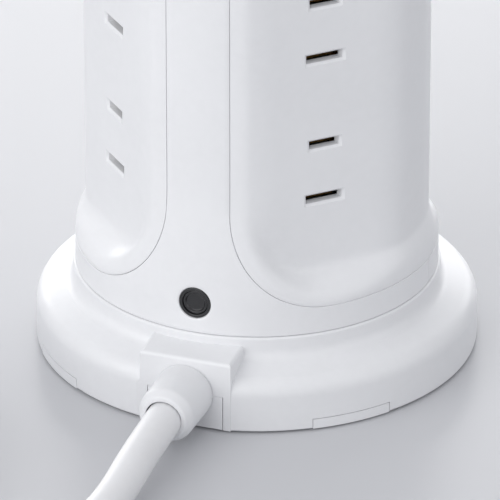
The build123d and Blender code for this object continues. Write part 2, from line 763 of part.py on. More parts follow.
# ---- top cap and master switch ----
SWITCH_HALF = (9.5, 6.5)
with BuildPart() as top_cap:
    cap_in = CAP_R - 2.4
    slab = CAP_TOP_Z - 2.4
    with BuildSketch(Plane.XZ):
        with BuildLine():
            FilletPolyline(
                (0, CAP_TOP_Z), (CAP_R, CAP_TOP_Z), (CAP_R, CAP_BOTTOM_Z), (cap_in, CAP_BOTTOM_Z),
                (cap_in, slab), (0, slab), radius=[8, 0.4, 0.2, 5.6],
            )
            Line((0, slab), (0, CAP_TOP_Z))
        make_face()
    revolve(axis=Axis.Z)
    with BuildSketch(Plane.XY.offset(149.0)):
        Circle(COLUMN_R - SHELL_WALL - 0.3)
        Circle(COLUMN_R - SHELL_WALL - 2.2, mode=Mode.SUBTRACT)
    extrude(amount=3)
    with BuildSketch(Plane.XY.offset(CAP_BOTTOM_Z)):
        Circle(cap_in + 0.2)
        Circle(COLUMN_R - SHELL_WALL - 2.2, mode=Mode.SUBTRACT)
    extrude(amount=1.8)
    CAP_SCREWS = [on_ring(29.5, 0), on_ring(29.5, 180)]
    add(screw_posts(CAP_SCREWS, 3.0, 146.6, slab + 0.5, 0.95))
    with BuildSketch(Plane.XY.offset(146)):
        with Locations(*CAP_SCREWS):
            Circle(1.2)
    extrude(amount=12, mode=Mode.SUBTRACT)
    with BuildSketch(Plane.XY.offset(slab - 1)):
        Rectangle(2 * SWITCH_HALF[0] + 0.2, 2 * SWITCH_HALF[1] + 0.2)
    extrude(amount=5, mode=Mode.SUBTRACT)
finish(top_cap, "top_cap")
cap_screws = screws(CAP_SCREWS, 141.0, 2.5, 2.0, 1.15, 157.0)
finish(cap_screws, "cap_screws")

with BuildPart() as switch_housing:
    with BuildSketch(Plane.XY.offset(153)):
        Rectangle(2 * SWITCH_HALF[0], 2 * SWITCH_HALF[1])
    extrude(amount=CAP_TOP_Z - 153)
    with BuildSketch(Plane.XY.offset(CAP_TOP_Z + 0.05)):
        RectangleRounded(2 * SWITCH_HALF[0] + 3, 2 * SWITCH_HALF[1] + 3, 1.2)
    extrude(amount=1.6)
    fillet(switch_housing.faces().sort_by(Axis.Z)[-1].edges(), radius=0.6)
    with BuildSketch(Plane.XY.offset(CAP_TOP_Z - 1)):
        Rectangle(2 * SWITCH_HALF[0], 2 * SWITCH_HALF[1])
    extrude(amount=2)
    with BuildSketch(Plane.XY.offset(162.5)):
        RectangleRounded(17.4, 11, 0.6)
    extrude(amount=12, mode=Mode.SUBTRACT)
    with BuildSketch(Plane.XZ.offset(-5.9)):
        with Locations((0, ROCKER_AXIS_Z)):
            Circle(1.05)
    extrude(amount=11.8, mode=Mode.SUBTRACT)
finish(switch_housing, "switch_housing")

with BuildPart() as switch_rocker:
    with BuildSketch(Plane.XZ.offset(-5.2)):
        with BuildLine():
            Polyline((-7.9, 171.9), (-7.6, 166.2), (-3.2, 164.0), (3.2, 164.0), (7.6, 166.2), (7.9, 171.9))
            ThreePointArc((7.9, 171.9), (0, 170.5), (-7.9, 171.9))
        make_face()
    extrude(amount=10.4)
    fillet(switch_rocker.edges().group_by(Axis.Z)[-1], radius=0.5)
    with BuildSketch(Plane.XZ.offset(-5.8)):
        with Locations((0, ROCKER_AXIS_Z)):
            Circle(1.0)
    extrude(amount=11.6)
rocker_axis = Axis((0, 0, ROCKER_AXIS_Z), (0, 1, 0))
switch_rocker.part = switch_rocker.part.rotate(rocker_axis, ROCKER_TILT)
finish(switch_rocker, "switch_rocker")

with BuildPart() as switch_terminals:
    with BuildSketch(Plane.XY.offset(146)):
        with Locations((5.5, 0), (-5.5, 0)):
            Rectangle(0.8, 4.8)
    extrude(amount=7.0)
finish(switch_terminals, "switch_terminals")

# ---- inner wires ----
neutral_lead = wire(
    [from_front(29, -2.2, 8.4), from_front(14, -12, 10.5), from_front(3, -23, 15), from_front(1, -25.4, 27),
     from_front(0, -28.8, 41.0)]
)
finish(neutral_lead, "neutral_lead")
line_lead = wire(
    [from_front(29, 2.2, 8.4), from_front(16, 6, 10), from_front(7, 7.5, 15), from_front(5.6, 7, 22.6)]
)
finish(line_lead, "line_lead")
switch_lead = wire(
    [from_front(5, -8.2, 26), from_front(1, -9, 36), from_front(-2, -7, 80), from_front(1, -8, 120),
     from_front(3, -6.5, 140), (-6.0 - WIRE_R, 0, 149)]
)
finish(switch_lead, "switch_lead")
live_lead = wire([(6.0 + WIRE_R, 0, 149), (12, -9, 144), (20.2, -20.4, 141.5), (20.6, -20.6, 131.4)])
finish(live_lead, "live_lead")


# ---- mains cord ----
def cord_tube(route):
    """A stretch of the cord, with the radii of its bends and a check of its volume."""
    points = [from_front(*spot) for spot in route]
    radii = [min(r, 400) for r in bend_radii(points)]
    print("bend radii", [round(r) for r in radii])
    with BuildPart() as tube:
        with BuildLine() as path:
            FilletPolyline(*points, radius=radii)
        with BuildSketch(Plane(origin=path.line @ 0, z_dir=path.line % 0)):
            Circle(CORD_R)
        sweep()
    length = sum(edge.length for edge in path.edges())
    print("length", round(length, 1), "volume ratio", tube.part.volume / (length * pi * CORD_R**2))
    return tube


finish(cord_tube(CORD_ROUTE), "power_cord")
finish(cord_tube(TAIL_ROUTE), "cord_tail")

coil_x, coil_y, _ = from_front(*COIL_CENTRE, 0)
COIL_SIDE = Plane(origin=(coil_x, coil_y, 0), x_dir=(-1, -1, 0), z_dir=(-1, 1, 0))
with BuildPart() as cord_coil:
    with BuildSketch(COIL_SIDE):
        with Locations(((COIL_OUTER_R + COIL_INNER_R) / 2, COIL_HEIGHT / 2)):
            RectangleRounded(COIL_OUTER_R - COIL_INNER_R, COIL_HEIGHT, 3.9)
    revolve(axis=Axis((coil_x, coil_y, 0), (0, 0, 1)))
finish(cord_coil, "cord_coil")

with BuildPart() as cord_tie:
    with BuildSketch(COIL_SIDE.offset(-5)):
        with Locations((-(COIL_OUTER_R + COIL_INNER_R) / 2, COIL_HEIGHT / 2 + 0.4)):
            RectangleRounded(COIL_OUTER_R - COIL_INNER_R + 2.4, COIL_HEIGHT + 0.8, 4.5)
            RectangleRounded(COIL_OUTER_R - COIL_INNER_R + 0.8, COIL_HEIGHT - 0.8, 3.7, mode=Mode.SUBTRACT)
    extrude(amount=10)
finish(cord_tie, "cord_tie")

# ---- plug ----
tail_end = TAIL_ROUTE[-1]
PLUG = Plane(origin=from_front(*tail_end), x_dir=(1, -1, 0), z_dir=(1, 1, 0))
with BuildPart() as plug_relief:
    with BuildSketch(PLUG.offset(-2)):
        Circle(5.4)
    with BuildSketch(PLUG.offset(20)):
        Circle(8.0)
    loft()
    with BuildSketch(PLUG.offset(-3)):
        Circle(CORD_R + 0.05)
    extrude(amount=3.05, mode=Mode.SUBTRACT)
finish(plug_relief, "plug_relief")

with BuildPart() as plug_body:
    with BuildSketch(PLUG.offset(20.05)):
        RectangleRounded(24, 17.6, 6)
    with BuildSketch(PLUG.offset(46)):
        RectangleRounded(26.5, 18.6, 5)
    loft()
    fillet(plug_body.faces().sort_by(Axis((0, 0, 0), (1, 1, 0)))[-1].edges(), radius=1.0)
finish(plug_body, "plug_body")

with BuildPart() as plug_blades:
    with BuildSketch(PLUG.offset(46.05)):
        with Locations((BLADE_PITCH / 2, 0), (-BLADE_PITCH / 2, 0)):
            Rectangle(1.5, 6.3)
    extrude(amount=17)
    chamfer(plug_blades.faces().sort_by(Axis((0, 0, 0), (1, 1, 0)))[-2:].edges(), length=0.4)
finish(plug_blades, "plug_blades")
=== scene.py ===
"""Looks of the tower power strip: smooth column shells, coiled cord, materials, floor and light.

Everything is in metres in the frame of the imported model. Shell shapes are worked out in
millimetres, like the drawing they follow, and scaled once when their meshes are made.
"""

import json
from math import asin, atan, cos, pi, radians, sin, sqrt

import bmesh
import bpy
import numpy as np
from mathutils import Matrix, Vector


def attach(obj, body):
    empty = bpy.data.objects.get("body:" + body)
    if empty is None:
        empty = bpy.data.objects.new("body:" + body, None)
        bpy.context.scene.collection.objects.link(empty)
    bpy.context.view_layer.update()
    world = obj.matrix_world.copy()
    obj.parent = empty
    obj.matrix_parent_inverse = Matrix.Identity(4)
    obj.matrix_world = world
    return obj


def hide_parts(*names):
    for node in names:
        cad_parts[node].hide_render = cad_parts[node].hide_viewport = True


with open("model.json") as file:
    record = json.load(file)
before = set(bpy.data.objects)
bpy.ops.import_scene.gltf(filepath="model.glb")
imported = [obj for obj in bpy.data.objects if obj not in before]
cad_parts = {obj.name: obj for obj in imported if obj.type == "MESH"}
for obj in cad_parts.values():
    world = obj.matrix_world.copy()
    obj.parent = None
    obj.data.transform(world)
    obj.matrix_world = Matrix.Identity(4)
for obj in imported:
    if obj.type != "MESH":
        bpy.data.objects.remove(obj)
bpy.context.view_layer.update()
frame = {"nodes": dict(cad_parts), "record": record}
nodes = frame["nodes"]
MM = 0.001

# ---- camera ----
CAMERA_AT = Vector((-0.584886, -1.238675, 0.714736))
CAMERA_TURN = radians(-25.213)
CAMERA_RISE = radians(26.908)
SENSOR_MM = 36.0
LENS_MM = 508.0

backwards = Vector(
    (sin(CAMERA_TURN) * cos(CAMERA_RISE), -cos(CAMERA_TURN) * cos(CAMERA_RISE), sin(CAMERA_RISE))
)
AWAY = Vector((-backwards.x, -backwards.y, 0)).normalized()  # level, away from the camera
camera_data = bpy.data.cameras.new("camera")
camera_data.sensor_width = SENSOR_MM
camera_data.lens = LENS_MM
camera_data.clip_end = 50.0
camera = bpy.data.objects.new("camera", camera_data)
camera.location = CAMERA_AT
camera.rotation_euler = (-backwards).to_track_quat("-Z", "Y").to_euler()
bpy.context.scene.collection.objects.link(camera)
bpy.context.scene.camera = camera


# ---- mains cord ----
OUTLET_SHIFT = 0.6
CORD_DIAMETER = 8.0
# routes as distance out along the front diagonal, across and up
CORD_ROUTE = [
    (29, 0, 8.4),
    (67, 0, 8.8),
    (98, 0.6, 4.2),
    (115.5, -6.2, 4.2),
    (131, -19.5, 4.2),
    (142.5, -38.5, 4.2),
    (149, -61, 4.4),
]
TAIL_ROUTE = [(86, -136.2, 12.4), (77, -138.7, 10.6), (68.5, -140.2, 9.5)]
COIL_CENTRE = (97.2, -83.6)
COIL_START = 0.26  # where the cord joins the coil, in turns from the side nearest the cord outlet
COIL_END = 5.5
LAYER_Z = (4.8, 12.8)
OUTER_TURN_R = 51.3
INNER_TURN_R = 31.0
INWARD_TURNS = 2.5
CLIMB_TURNS = 0.5
POINTS_PER_TURN = 16


def from_front(out, across, up):
    """Point in metres from its distance out along the front diagonal, across and up."""
    side = across + OUTLET_SHIFT
    return Vector(((side - out) / sqrt(2), (-side - out) / sqrt(2), up)) * MM


def coil_points():
    """Turns inwards on the floor, a climb onto them, and turns outwards on top."""
    steps = round((COIL_END - COIL_START) * POINTS_PER_TURN)
    outward_turns = COIL_END - COIL_START - INWARD_TURNS - CLIMB_TURNS
    points = []
    for step in range(steps + 1):
        turned = (COIL_END - COIL_START) * step / steps
        inwards = min(turned / INWARD_TURNS, 1.0)
        climb = min(max((turned - INWARD_TURNS) / CLIMB_TURNS, 0.0), 1.0)
        outwards = max((turned - INWARD_TURNS - CLIMB_TURNS) / outward_turns, 0.0)
        radius = OUTER_TURN_R + (INNER_TURN_R - OUTER_TURN_R) * (inwards - outwards)
        rise = climb * climb * (3 - 2 * climb)
        height = LAYER_Z[0] + (LAYER_Z[1] - LAYER_Z[0]) * rise
        angle = 2 * pi * (COIL_START + turned)
        points.append((COIL_CENTRE[0] + radius * sin(angle), COIL_CENTRE[1] + radius * cos(angle), height))
    return points


def cord_curve(name, points, diameter):
    """A smooth round cord with these control points."""
    data = bpy.data.curves.new(name, "CURVE")
    data.dimensions = "3D"
    data.bevel_depth = 1.0  # scaled down by each control point's radius
    data.bevel_resolution = 6
    data.resolution_u = 8
    data.use_fill_caps = True
    spline = data.splines.new("NURBS")
    spline.points.add(len(points) - 1)
    for control, point in zip(spline.points, points):
        control.co = (*from_front(*point), 1)
        control.radius = diameter / 2 * MM
    spline.order_u = 3
    spline.use_endpoint_u = True
    cord = bpy.data.objects.new(name, data)
    bpy.context.scene.collection.objects.link(cord)
    return cord


mains_cord = cord_curve("mains_cord", CORD_ROUTE + coil_points() + TAIL_ROUTE, CORD_DIAMETER)
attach(mains_cord, "strip")
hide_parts("power_cord", "cord_coil", "cord_tail")

# ---- column shells ----
BASE_TOP_Z = 18.8
SKIRT_R = 39.5
SKIRT_TOP_Z = 24.6
COLUMN_R = 37.4
COLUMN_TOP_Z = 150.0
FLARE = (24.0, 52.0)
FACE_D = 33.6
FACE_Z = (30.9, 142.6)
FACE_HALF_WIDTH = 17.0
FACE_OPEN_REACH = 60.0  # past the column, so the face is open on that side
FACE_CORNER_R = 15.0
LEDGE_SLOPE = radians(33.5)
SHOULDER_R = 10.4
SHOULDER_Z = 25.6
WALL = 2.3
FOOT_BLEND = 1.6
RIM_BLEND = 1.9
SHOULDER_BLEND = 0.5
FACE_DEPTH_LIMIT = -12.0  # further in than this, the ledge doesn't count
SEARCH_R = (28.0, 44.0)
SEARCH_STEPS = 26
SEAM_GAP = 0.10
SPINE_HALF_WIDTH = 7.2
SEAM_CENTRE = (26.9, 46.6)
SEAM_R = 38.0  # the seam is drawn on a plain cylinder of this radius
EDGE_ROUND = 0.10
SEAM_STEPS = 26
SEAM_STEP = radians(3.6)
EDGE_STRIP = radians(0.35)
SAME = 1e-4
OUTLET_Z = (53.85, 86.65, 119.45)
BLADE_PITCH = 12.7
SLOT_LENGTHS = (9.6, 8.1)
SLOT_MOUTH = 2.9
SLOT_BEVEL = 0.5
BUTTON_Z = 25.6
BUTTON_HOLE_R = 3.6
BUTTON_SKIN_R = 39.35
BUTTON_WINDOW = 6.0  # half the side of the square that is drawn round the button's hole
BUTTON_ROWS = (BUTTON_Z - BUTTON_WINDOW, BUTTON_Z + BUTTON_WINDOW)
FRONT_ANGLE = radians(225)


def smooth_min(a, b, reach):
    """The smaller of two fields, with their crease rounded."""
    share = np.clip(0.5 + 0.5 * (b - a) / reach, 0, 1)
    return b + (a - b) * share - reach * share * (1 - share)


def smooth_step(x):
    """0 to 1 with level ends."""
    x = np.clip(x, 0, 1)
    return x * x * (3 - 2 * x)


def envelope(turn, z):
    """Outer radius of the column before its faces are cut, turn counted from the front diagonal."""
    flare = SKIRT_R + (COLUMN_R - SKIRT_R) * smooth_step((z - FLARE[0]) / (FLARE[1] - FLARE[0]))
    rise = np.clip(z - SHOULDER_Z, 0, SHOULDER_R)
    arc = SKIRT_R - SHOULDER_R + np.sqrt(SHOULDER_R**2 - rise**2)
    shoulder = -smooth_min(-np.full_like(z, COLUMN_R), -arc, SHOULDER_BLEND)
    corner = smooth_step(0.5 - 3.0 * np.cos(2 * turn))
    return flare + (shoulder - flare) * corner


def outside(radius, turn, z):
    """Negative inside the column, zero on its skin."""
    field = radius - envelope(turn, z)
    for face in range(4):
        face_turn = turn - radians(45 + 90 * face)
        spine_side = -1 if face in (0, 2) else 1
        depth = radius * np.cos(face_turn) - FACE_D
        along = radius * np.sin(face_turn) * spine_side
        # outline of the face: a tall U that is open away from the spine
        half = (FACE_OPEN_REACH + FACE_HALF_WIDTH) / 2, (FACE_Z[1] - FACE_Z[0]) / 2
        from_side = np.abs(along - (FACE_HALF_WIDTH - half[0])) - half[0] + FACE_CORNER_R
        from_end = np.abs(z - sum(FACE_Z) / 2) - half[1] + FACE_CORNER_R
        beyond = np.hypot(np.maximum(from_side, 0), np.maximum(from_end, 0))
        beyond = beyond + np.minimum(np.maximum(from_side, from_end), 0) - FACE_CORNER_R
        wall = depth * sin(LEDGE_SLOPE) - beyond * cos(LEDGE_SLOPE)
        cut = smooth_min(depth, wall, FOOT_BLEND)
        cut = np.where(depth < FACE_DEPTH_LIMIT, depth, cut)
        field = -smooth_min(-field, -cut, RIM_BLEND)
    return field


def skin_radius(turn, z):
    """Radius of the column's skin at each turn and height."""
    inner = np.full_like(z, SEARCH_R[0])
    outer = np.full_like(z, SEARCH_R[1])
    for _ in range(SEARCH_STEPS):
        middle = (inner + outer) / 2
        solid = outside(middle, turn, z) < 0
        inner = np.where(solid, middle, inner)
        outer = np.where(solid, outer, middle)
    return (inner + outer) / 2


def seam_height(across, gap):
    """Height of the seam between spine and cover, this far from the diagonal."""
    half = SPINE_HALF_WIDTH + gap
    reach = np.clip((SEAM_CENTRE[0] - across) / (SEAM_CENTRE[0] - half), 0, 1)
    drop = SEAM_CENTRE[1] - SKIRT_TOP_Z - gap
    return SEAM_CENTRE[1] - drop * np.sqrt(1 - reach**2)


def seam_across(half):
    """Places along the seam's curve, from the strip's edge outwards, across the diagonal."""
    reach = SEAM_CENTRE[0] - half
    return [SEAM_CENTRE[0] - reach * cos(SEAM_STEP * i) for i in range(SEAM_STEPS)]


def spaced(stops):
    """Values from (start, step) stops to the last stop."""
    values = []
    for (low, step), (high, _) in zip(stops, stops[1:]):
        count = max(1, round((high - low) / step))
        values += [low + (high - low) * i / count for i in range(count)]
    return values + [stops[-1][0]]


class Skin:
    """Vertices and faces of one shell's outer skin, kept as turn, height and how far they sink."""

    def __init__(self):
        self.turns, self.heights, self.drops, self.faces = [], [], [], []

    def add_points(self, turns, heights, drops):
        first = len(self.turns)
        self.turns += list(turns)
        self.heights += list(heights)
        self.drops += list(drops)
        return first

    def build(self, name, spin):
        """The closed shell: skin, inner face and the rims between them."""
        turn, z, drop = map(np.array, (self.turns, self.heights, self.drops))
        radius = skin_radius(turn, z)
        angle = FRONT_ANGLE + turn + spin
        count = len(turn)
        layers = []
        for r in (radius - drop, radius - WALL):
            layers.append(np.stack([r * np.cos(angle), r * np.sin(angle), z], axis=1))
        vertices = np.concatenate(layers) * MM
        faces = [tuple(f) for f in self.faces]
        edges = {}
        for f in self.faces:
            for a, b in zip(f, f[1:] + f[:1]):
                edges[(a, b)] = True
        inner = [tuple(i + count for i in reversed(f)) for f in self.faces]
        rims = [(b, a, a + count, b + count) for a, b in edges if (b, a) not in edges]
        mesh = bpy.data.meshes.new(name)
        mesh.from_pydata(vertices.tolist(), [], faces + inner + rims)
        mesh.validate()
        work = bmesh.new()
        work.from_mesh(mesh)
        bmesh.ops.remove_doubles(work, verts=work.verts, dist=0.01 * MM)
        bmesh.ops.delete(work, geom=[v for v in work.verts if not v.link_faces], context="VERTS")
        bmesh.ops.recalc_face_normals(work, faces=work.faces)
        work.to_mesh(mesh)
        work.free()
        mesh.shade_smooth()
        mesh.set_sharp_from_angle(angle=radians(32))
        shell = bpy.data.objects.new(name, mesh)
        bpy.context.scene.collection.objects.link(shell)
        return shell


def add_grid(skin, turns, heights, drops, keep):
    """A grid of quads; keep says which of them exist."""
    rows, columns = heights.shape
    grid_turns = np.broadcast_to(turns, heights.shape)
    first = skin.add_points(grid_turns.ravel(), heights.ravel(), drops.ravel())
    for row in range(rows - 1):
        for column in range(columns - 1):
            if keep[row, column]:
                corner = first + row * columns + column
                skin.faces.append([corner, corner + 1, corner + columns + 1, corner + columns])
    return first


def cover_skin():
    """Outer skin of the cover that wraps the first two faces from the front diagonal."""
    half = SPINE_HALF_WIDTH + SEAM_GAP / 2
    edge = asin(half / SEAM_R)
    seam = seam_across(half)
    seam_turns = [asin(a / SEAM_R) for a in seam if a < 21]
    slot_lines = []
    for length in SLOT_LENGTHS:
        slot_lines += [length / 2, length / 2 - SLOT_BEVEL]
    slot_lines += [1.8, 0.0]
    slot_lines = sorted({s * x for x in slot_lines for s in (-1, 1)})
    slot_turns = [atan(x / FACE_D) for x in slot_lines]
    first_face, corner = radians(45), radians(90)
    quarter = [edge, edge + EDGE_STRIP] + seam_turns[1:]
    quarter += list(np.linspace(seam_turns[-1], first_face + slot_turns[0], 7)[1:-1])
    quarter += [first_face + t for t in slot_turns]
    quarter += list(np.linspace(first_face + slot_turns[-1], corner, 34)[1:])
    quarter = np.unique(np.round(quarter, 7))
    turns = np.concatenate([quarter, (2 * corner - quarter)[::-1][1:]])
    slots = []
    for outlet in OUTLET_Z:
        slots.append((outlet - BLADE_PITCH / 2, SLOT_LENGTHS[0]))
        slots.append((outlet + BLADE_PITCH / 2, SLOT_LENGTHS[1]))
    stops = [(SKIRT_TOP_Z + SEAM_GAP / 2, 0.3), (25.1, 0.6), (34, 1.1), (46, 2.6), (128, 1.3), (138, 0.7)]
    plain = spaced(stops + [(COLUMN_TOP_Z, 1)])
    near = SLOT_MOUTH / 2 + 0.6
    plain = [z for z in plain if all(abs(z - height) > near for height, _ in slots)]
    rows = list(plain) + [COLUMN_TOP_Z - 0.35]
    for height, _ in slots:
        for offset in (SLOT_MOUTH / 2, SLOT_MOUTH / 2 - SLOT_BEVEL):
            rows += [height - offset, height + offset]
    rows = np.unique(np.round(rows, 5))
    across = SEAM_R * np.sin(np.minimum(turns, 2 * corner - turns))
    low = seam_height(across, SEAM_GAP / 2)
    reach = np.interp(across, [13, 20], [22.0, 12.0])
    shift = np.maximum(0, 1 - (rows[:, None] - rows[0]) / reach[None, :])
    heights = rows[:, None] + (low - rows[0])[None, :] * shift
    drops = np.zeros_like(heights)
    drops[0, :] = drops[-1, :] = EDGE_ROUND
    drops[:, 0] = drops[:, -1] = EDGE_ROUND
    keep = np.ones((len(rows) - 1, len(turns) - 1), bool)
    face_turns = (first_face, 2 * corner - first_face)
    for face_turn in face_turns:
        for height, length in slots:
            inner_turn = atan((length / 2 - SLOT_BEVEL) / FACE_D) + 1e-5
            inner_rise = SLOT_MOUTH / 2 - SLOT_BEVEL + 1e-4
            in_turn = np.abs(turns - face_turn) < inner_turn
            in_rise = np.abs(rows - height) < inner_rise
            hole = np.outer(in_rise, in_turn)
            drops[hole] = SLOT_BEVEL
            keep &= ~(hole[:-1, :-1] & hole[1:, :-1] & hole[:-1, 1:] & hole[1:, 1:])
    skin = Skin()
    add_grid(skin, turns, heights, drops, keep)
    return skin


def spine_skin(with_button):
    """Outer skin of a spine: its half of the skirt ring and the strip up the column."""
    gap = -SEAM_GAP / 2
    half = SPINE_HALF_WIDTH + gap
    edge = asin(half / SEAM_R)
    window = BUTTON_WINDOW
    strip = [asin(a / SEAM_R) for a in np.linspace(0, window, 13)] + [edge - EDGE_STRIP, edge]
    seam = seam_across(half)[1:]
    ring = list(np.linspace(asin(seam[-1] / SEAM_R), radians(90), 40)[1:])
    side = strip + [asin(a / SEAM_R) for a in seam] + ring
    side[-1] -= radians(0.1)
    side = np.unique(np.round(side, 7))
    turns = np.concatenate([-side[::-1][:-1], side])
    lower = spaced([(BASE_TOP_Z, 0.3), (19.1, 0.5), (19.6, 1.0), (31.6, 1.0), (46.3, 0.3), (46.6, 1)])
    upper = spaced([(46.6, 2.0), (130, 1.2), (149.7, 0.3), (150, 1)])[1:]
    rows = np.array(lower + upper)
    across = SEAM_R * np.sin(np.abs(turns))
    top = np.where(across <= half + 1e-6, SEAM_CENTRE[1], seam_height(across, gap))
    share = (rows - BASE_TOP_Z) / (SEAM_CENTRE[1] - BASE_TOP_Z)
    heights = BASE_TOP_Z + (top - BASE_TOP_Z)[None, :] * share[:, None]
    strip_columns = across <= half + 1e-6
    above = rows > SEAM_CENTRE[1]
    heights = np.where(above[:, None], rows[:, None], heights)
    in_strip = strip_columns[:-1] & strip_columns[1:]
    keep = np.ones((len(rows) - 1, len(turns) - 1), bool)
    keep[above[1:], :] &= in_strip
    drops = np.zeros_like(heights)
    drops[0, :] = drops[-1, :] = EDGE_ROUND
    drops[:, 0] = drops[:, -1] = EDGE_ROUND
    drops[len(lower) - 1, ~strip_columns] = EDGE_ROUND
    at_edge = np.abs(across - half) < SAME
    drops[np.ix_(rows >= SEAM_CENTRE[1], at_edge)] = EDGE_ROUND
    skin = Skin()
    in_window = np.abs(across) < window + SAME
    in_rise = (rows > BUTTON_ROWS[0] - SAME) & (rows < BUTTON_ROWS[1] + SAME)
    if with_button:
        hole = np.outer(in_rise, in_window)
        keep &= ~(hole[:-1, :-1] & hole[1:, :-1] & hole[:-1, 1:] & hole[1:, 1:])
    first = add_grid(skin, turns, heights, drops, keep)
    if with_button:
        columns = np.flatnonzero(in_window)
        levels = np.flatnonzero(in_rise)
        loop = [(levels[0], c) for c in columns[:-1]] + [(r, columns[-1]) for r in levels[:-1]]
        loop += [(levels[-1], c) for c in columns[:0:-1]] + [(r, columns[0]) for r in levels[:0:-1]]
        outer = [first + r * len(turns) + c for r, c in loop]
        surface_r = BUTTON_SKIN_R
        start = np.array([[surface_r * sin(turns[c]), heights[r, c] - BUTTON_Z] for r, c in loop])
        direction = start / np.hypot(*start.T)[:, None]
        rings = [(start + (direction * (BUTTON_HOLE_R + 0.45) - start) * s, 0.0) for s in (0.35, 0.7, 1.0)]
        for extra, sink in ((0.2, 0.06), (0.05, 0.2), (0, 0.42)):
            rings.append((direction * (BUTTON_HOLE_R + extra), sink))
        for spots, sink in rings:
            ring_turns = np.arcsin(spots[:, 0] / surface_r)
            inner_first = skin.add_points(ring_turns, spots[:, 1] + BUTTON_Z, [sink] * len(spots))
            ring = [inner_first + i for i in range(len(spots))]
            for i in range(len(ring)):
                j = (i + 1) % len(ring)
                skin.faces.append([outer[i], outer[j], ring[j], ring[i]])
            outer = ring
    return skin


shells = {
    "right_cover": cover_skin().build("right_cover_skin", 0),
    "left_cover": cover_skin().build("left_cover_skin", pi),
    "front_spine": spine_skin(True).build("front_spine_skin", 0),
    "rear_spine": spine_skin(False).build("rear_spine_skin", pi),
}
for node, shell in shells.items():
    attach(shell, "strip")
    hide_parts(node)


# ---- strain relief at the plug ----
RELIEF_FROM = TAIL_ROUTE[-1]
RELIEF_SPAN = (-2.0, 20.0)
RELIEF_R = (5.1, 7.9)
RIB_PITCH = 3.2
RIB_DEPTH = 0.7
RIBS_SPAN = (1.0, 17.5)
RIB_FADE = 1.5
RELIEF_STEPS = 110
RING_POINTS = 72


def ribbed_relief():
    """Tapered sleeve with ribs, along the cord's last stretch towards the plug."""
    start = from_front(*RELIEF_FROM)
    along = Vector((1, 1, 0)).normalized()
    across = Vector((1, -1, 0)).normalized()
    bore = CORD_DIAMETER / 2
    profile = [(RELIEF_SPAN[0] + 0.6, bore + 0.02), (RELIEF_SPAN[0], bore + 0.15)]
    for step in range(RELIEF_STEPS + 1):
        share = step / RELIEF_STEPS
        run = RELIEF_SPAN[0] + (RELIEF_SPAN[1] - RELIEF_SPAN[0]) * share
        radius = RELIEF_R[0] + (RELIEF_R[1] - RELIEF_R[0]) * share
        wave = 0.5 - 0.5 * cos(2 * pi * run / RIB_PITCH)
        fade_in = min(max((run - RIBS_SPAN[0]) / RIB_FADE, 0), 1)
        fade_out = min(max((RIBS_SPAN[1] - run) / RIB_FADE, 0), 1)
        ribbed = fade_in * fade_out
        lip = 0.5 * max(0.0, 1 - (run - RELIEF_SPAN[0]) / 0.8)
        profile.append((run, radius - RIB_DEPTH * wave**3 * ribbed - lip))
    profile.append((RELIEF_SPAN[1], 0.3))
    work = bmesh.new()
    rings = []
    for run, radius in profile:
        ring = []
        for i in range(RING_POINTS):
            turn = 2 * pi * i / RING_POINTS
            offset = across * cos(turn) + Vector((0, 0, 1)) * sin(turn)
            ring.append(work.verts.new(start + (along * run + offset * radius) * MM))
        rings.append(ring)
    for ring, following in zip(rings, rings[1:]):
        for i in range(RING_POINTS):
            j = (i + 1) % RING_POINTS
            work.faces.new((ring[i], ring[j], following[j], following[i]))
    for ring in (rings[0], rings[-1]):
        work.faces.new(ring)
    bmesh.ops.recalc_face_normals(work, faces=work.faces)
    mesh = bpy.data.meshes.new("plug_relief_ribs")
    work.to_mesh(mesh)
    work.free()
    mesh.shade_smooth()
    mesh.set_sharp_from_angle(angle=radians(50))
    sleeve = bpy.data.objects.new("plug_relief_ribs", mesh)
    bpy.context.scene.collection.objects.link(sleeve)
    return sleeve


relief = ribbed_relief()
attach(relief, "strip")
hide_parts("plug_relief")


# ---- materials ----
def link(tree, source, target):
    tree.links.new(source, target)


DUST_COLOUR = (0.62, 0.60, 0.57)


